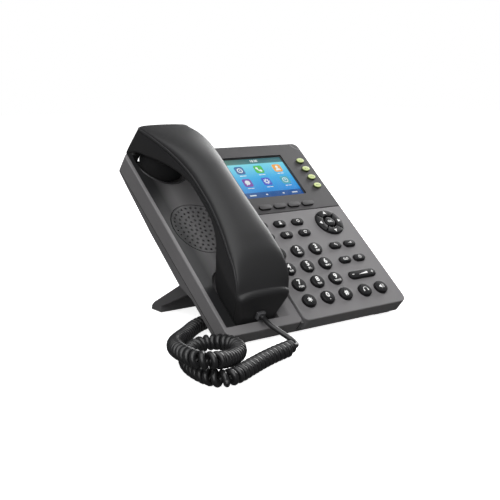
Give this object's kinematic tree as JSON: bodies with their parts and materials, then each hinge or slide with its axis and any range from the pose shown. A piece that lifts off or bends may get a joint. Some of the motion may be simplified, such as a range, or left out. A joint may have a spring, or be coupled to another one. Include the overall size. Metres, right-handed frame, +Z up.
{
  "type": "desk ip phone",
  "caption": "Desk IP phone with a sloping face, colour display, sprung keys, lift-off handset on a curly cord and a folding stand.",
  "frame": {"origin": "on the table under the middle of the phone's box, measured without the cord", "axes": "+X to the user's right, +Y away from the user, +Z up"},
  "size_m": [0.2597, 0.2338, 0.1611],
  "materials": {
    "shell_black": "fine moulded texture",
    "panel_grey": "satin",
    "bezel_grey": "satin",
    "cradle_dark": "satin",
    "stand_dark": "fine moulded texture",
    "handset_black": "satin",
    "lens_glass": "polished",
    "screen_lit": "lit display",
    "circuit_board": "solder mask",
    "mat_rubber": "silicone",
    "foot_rubber": "matte",
    "capsule_black": "matte",
    "screw_steel": "blackened steel",
    "port_black": "matte",
    "plug_clear": "smoked",
    "cord_black": "soft vinyl",
    "key_black": "gloss",
    "key_lit": "lit from below"
  },
  "bodies": {
    "base": {"bottom_shell": "shell_black", "keypad_cover": "panel_grey", "display_bezel": "bezel_grey", "cradle_cover": "cradle_dark", "display_lens": "lens_glass", "lcd_module": "screen_lit", "main_board": "circuit_board", "keypad_mat": "mat_rubber", "base_speaker": "capsule_black", "case_screws": "screw_steel", "ports": "port_black", "rubber_feet": "foot_rubber", "cord_plug_base": "plug_clear", "cord_leads": "cord_black", "cord_curl": "cord_black"},
    "handset": {"handset_back_shell": "handset_black", "handset_front_shell": "handset_black", "handset_capsules": "capsule_black", "handset_jack": "port_black", "cord_plug_handset": "plug_clear"},
    "hook": {"hook_switch": "cradle_dark"},
    "stand": {"stand": "stand_dark"},
    "volume_rocker": {"volume_rocker": "key_black"},
    "key_1": {"key_1": "key_black"},
    "key_2": {"key_2": "key_black"},
    "key_3": {"key_3": "key_black"},
    "key_4": {"key_4": "key_black"},
    "key_5": {"key_5": "key_black"},
    "key_6": {"key_6": "key_black"},
    "key_7": {"key_7": "key_black"},
    "key_8": {"key_8": "key_black"},
    "key_9": {"key_9": "key_black"},
    "key_star": {"key_star": "key_black"},
    "key_0": {"key_0": "key_black"},
    "key_hash": {"key_hash": "key_black"},
    "key_upper_1": {"key_upper_1": "key_black"},
    "key_upper_2": {"key_upper_2": "key_black"},
    "key_upper_3": {"key_upper_3": "key_black"},
    "key_upper_4": {"key_upper_4": "key_black"},
    "key_upper_5": {"key_upper_5": "key_black"},
    "key_upper_6": {"key_upper_6": "key_black"},
    "key_right_1": {"key_right_1": "key_black"},
    "key_right_2": {"key_right_2": "key_black"},
    "key_right_3": {"key_right_3": "key_black"},
    "key_right_4": {"key_right_4": "key_black"},
    "key_headset": {"key_headset": "key_black"},
    "key_speaker": {"key_speaker": "key_black"},
    "key_soft_1": {"key_soft_1": "bezel_grey"},
    "key_soft_2": {"key_soft_2": "bezel_grey"},
    "key_soft_3": {"key_soft_3": "bezel_grey"},
    "key_soft_4": {"key_soft_4": "bezel_grey"},
    "key_line_1": {"key_line_1": "key_lit"},
    "key_line_2": {"key_line_2": "key_lit"},
    "key_line_3": {"key_line_3": "key_lit"},
    "key_line_4": {"key_line_4": "key_lit"},
    "key_nav_up": {"key_nav_up": "key_black"},
    "key_nav_right": {"key_nav_right": "key_black"},
    "key_nav_down": {"key_nav_down": "key_black"},
    "key_nav_left": {"key_nav_left": "key_black"},
    "key_ok": {"key_ok": "key_black"}
  },
  "joints": [
    {"name": "handset_lift", "type": "slide", "parent": "base", "child": "handset", "axis": [0, -0.6374, 0.7705], "range_m": [0, 0.08]},
    {"name": "hook_rise", "type": "slide", "parent": "base", "child": "hook", "axis": [0, -0.6374, 0.7705], "range_m": [0, 0.002]},
    {"name": "stand_fold", "type": "hinge", "parent": "base", "child": "stand", "pos_m": [0, -0.00825, 0.04029], "axis": [1, 0, 0], "range_deg": [0, 68]},
    {"name": "volume_rock", "type": "hinge", "parent": "base", "child": "volume_rocker", "pos_m": [0.0656, -0.05432, 0.03229], "axis": [0, 0.7705, 0.6374], "range_deg": [-2.5, 2.5], "stiffness_Nm_per_rad": 0.06},
    {"name": "key_1_press", "type": "slide", "parent": "base", "child": "key_1", "axis": [0, 0.6374, -0.7705], "range_m": [0, 0.001], "stiffness_N_per_m": 300},
    {"name": "key_2_press", "type": "slide", "parent": "base", "child": "key_2", "axis": [0, 0.6374, -0.7705], "range_m": [0, 0.001], "stiffness_N_per_m": 300},
    {"name": "key_3_press", "type": "slide", "parent": "base", "child": "key_3", "axis": [0, 0.6374, -0.7705], "range_m": [0, 0.001], "stiffness_N_per_m": 300},
    {"name": "key_4_press", "type": "slide", "parent": "base", "child": "key_4", "axis": [0, 0.6374, -0.7705], "range_m": [0, 0.001], "stiffness_N_per_m": 300},
    {"name": "key_5_press", "type": "slide", "parent": "base", "child": "key_5", "axis": [0, 0.6374, -0.7705], "range_m": [0, 0.001], "stiffness_N_per_m": 300},
    {"name": "key_6_press", "type": "slide", "parent": "base", "child": "key_6", "axis": [0, 0.6374, -0.7705], "range_m": [0, 0.001], "stiffness_N_per_m": 300},
    {"name": "key_7_press", "type": "slide", "parent": "base", "child": "key_7", "axis": [0, 0.6374, -0.7705], "range_m": [0, 0.001], "stiffness_N_per_m": 300},
    {"name": "key_8_press", "type": "slide", "parent": "base", "child": "key_8", "axis": [0, 0.6374, -0.7705], "range_m": [0, 0.001], "stiffness_N_per_m": 300},
    {"name": "key_9_press", "type": "slide", "parent": "base", "child": "key_9", "axis": [0, 0.6374, -0.7705], "range_m": [0, 0.001], "stiffness_N_per_m": 300},
    {"name": "key_star_press", "type": "slide", "parent": "base", "child": "key_star", "axis": [0, 0.6374, -0.7705], "range_m": [0, 0.001], "stiffness_N_per_m": 300},
    {"name": "key_0_press", "type": "slide", "parent": "base", "child": "key_0", "axis": [0, 0.6374, -0.7705], "range_m": [0, 0.001], "stiffness_N_per_m": 300},
    {"name": "key_hash_press", "type": "slide", "parent": "base", "child": "key_hash", "axis": [0, 0.6374, -0.7705], "range_m": [0, 0.001], "stiffness_N_per_m": 300},
    {"name": "key_upper_1_press", "type": "slide", "parent": "base", "child": "key_upper_1", "axis": [0, 0.6374, -0.7705], "range_m": [0, 0.001], "stiffness_N_per_m": 300},
    {"name": "key_upper_2_press", "type": "slide", "parent": "base", "child": "key_upper_2", "axis": [0, 0.6374, -0.7705], "range_m": [0, 0.001], "stiffness_N_per_m": 300},
    {"name": "key_upper_3_press", "type": "slide", "parent": "base", "child": "key_upper_3", "axis": [0, 0.6374, -0.7705], "range_m": [0, 0.001], "stiffness_N_per_m": 300},
    {"name": "key_upper_4_press", "type": "slide", "parent": "base", "child": "key_upper_4", "axis": [0, 0.6374, -0.7705], "range_m": [0, 0.001], "stiffness_N_per_m": 300},
    {"name": "key_upper_5_press", "type": "slide", "parent": "base", "child": "key_upper_5", "axis": [0, 0.6374, -0.7705], "range_m": [0, 0.001], "stiffness_N_per_m": 300},
    {"name": "key_upper_6_press", "type": "slide", "parent": "base", "child": "key_upper_6", "axis": [0, 0.6374, -0.7705], "range_m": [0, 0.001], "stiffness_N_per_m": 300},
    {"name": "key_right_1_press", "type": "slide", "parent": "base", "child": "key_right_1", "axis": [0, 0.6374, -0.7705], "range_m": [0, 0.001], "stiffness_N_per_m": 300},
    {"name": "key_right_2_press", "type": "slide", "parent": "base", "child": "key_right_2", "axis": [0, 0.6374, -0.7705], "range_m": [0, 0.001], "stiffness_N_per_m": 300},
    {"name": "key_right_3_press", "type": "slide", "parent": "base", "child": "key_right_3", "axis": [0, 0.6374, -0.7705], "range_m": [0, 0.001], "stiffness_N_per_m": 300},
    {"name": "key_right_4_press", "type": "slide", "parent": "base", "child": "key_right_4", "axis": [0, 0.6374, -0.7705], "range_m": [0, 0.001], "stiffness_N_per_m": 300},
    {"name": "key_headset_press", "type": "slide", "parent": "base", "child": "key_headset", "axis": [0, 0.6374, -0.7705], "range_m": [0, 0.001], "stiffness_N_per_m": 300},
    {"name": "key_speaker_press", "type": "slide", "parent": "base", "child": "key_speaker", "axis": [0, 0.6374, -0.7705], "range_m": [0, 0.001], "stiffness_N_per_m": 300},
    {"name": "key_soft_1_press", "type": "slide", "parent": "base", "child": "key_soft_1", "axis": [0, 0.6374, -0.7705], "range_m": [0, 0.001], "stiffness_N_per_m": 300},
    {"name": "key_soft_2_press", "type": "slide", "parent": "base", "child": "key_soft_2", "axis": [0, 0.6374, -0.7705], "range_m": [0, 0.001], "stiffness_N_per_m": 300},
    {"name": "key_soft_3_press", "type": "slide", "parent": "base", "child": "key_soft_3", "axis": [0, 0.6374, -0.7705], "range_m": [0, 0.001], "stiffness_N_per_m": 300},
    {"name": "key_soft_4_press", "type": "slide", "parent": "base", "child": "key_soft_4", "axis": [0, 0.6374, -0.7705], "range_m": [0, 0.001], "stiffness_N_per_m": 300},
    {"name": "key_line_1_press", "type": "slide", "parent": "base", "child": "key_line_1", "axis": [0, 0.6374, -0.7705], "range_m": [0, 0.001], "stiffness_N_per_m": 300},
    {"name": "key_line_2_press", "type": "slide", "parent": "base", "child": "key_line_2", "axis": [0, 0.6374, -0.7705], "range_m": [0, 0.001], "stiffness_N_per_m": 300},
    {"name": "key_line_3_press", "type": "slide", "parent": "base", "child": "key_line_3", "axis": [0, 0.6374, -0.7705], "range_m": [0, 0.001], "stiffness_N_per_m": 300},
    {"name": "key_line_4_press", "type": "slide", "parent": "base", "child": "key_line_4", "axis": [0, 0.6374, -0.7705], "range_m": [0, 0.001], "stiffness_N_per_m": 300},
    {"name": "key_nav_up_press", "type": "slide", "parent": "base", "child": "key_nav_up", "axis": [0, 0.6374, -0.7705], "range_m": [0, 0.001], "stiffness_N_per_m": 300},
    {"name": "key_nav_right_press", "type": "slide", "parent": "base", "child": "key_nav_right", "axis": [0, 0.6374, -0.7705], "range_m": [0, 0.001], "stiffness_N_per_m": 300},
    {"name": "key_nav_down_press", "type": "slide", "parent": "base", "child": "key_nav_down", "axis": [0, 0.6374, -0.7705], "range_m": [0, 0.001], "stiffness_N_per_m": 300},
    {"name": "key_nav_left_press", "type": "slide", "parent": "base", "child": "key_nav_left", "axis": [0, 0.6374, -0.7705], "range_m": [0, 0.001], "stiffness_N_per_m": 300},
    {"name": "key_ok_press", "type": "slide", "parent": "base", "child": "key_ok", "axis": [0, 0.6374, -0.7705], "range_m": [0, 0.001], "stiffness_N_per_m": 300}
  ],
  "couplings": [
    {"joint": "hook_rise", "follows": "handset_lift", "ratio": 0.025}
  ]
}
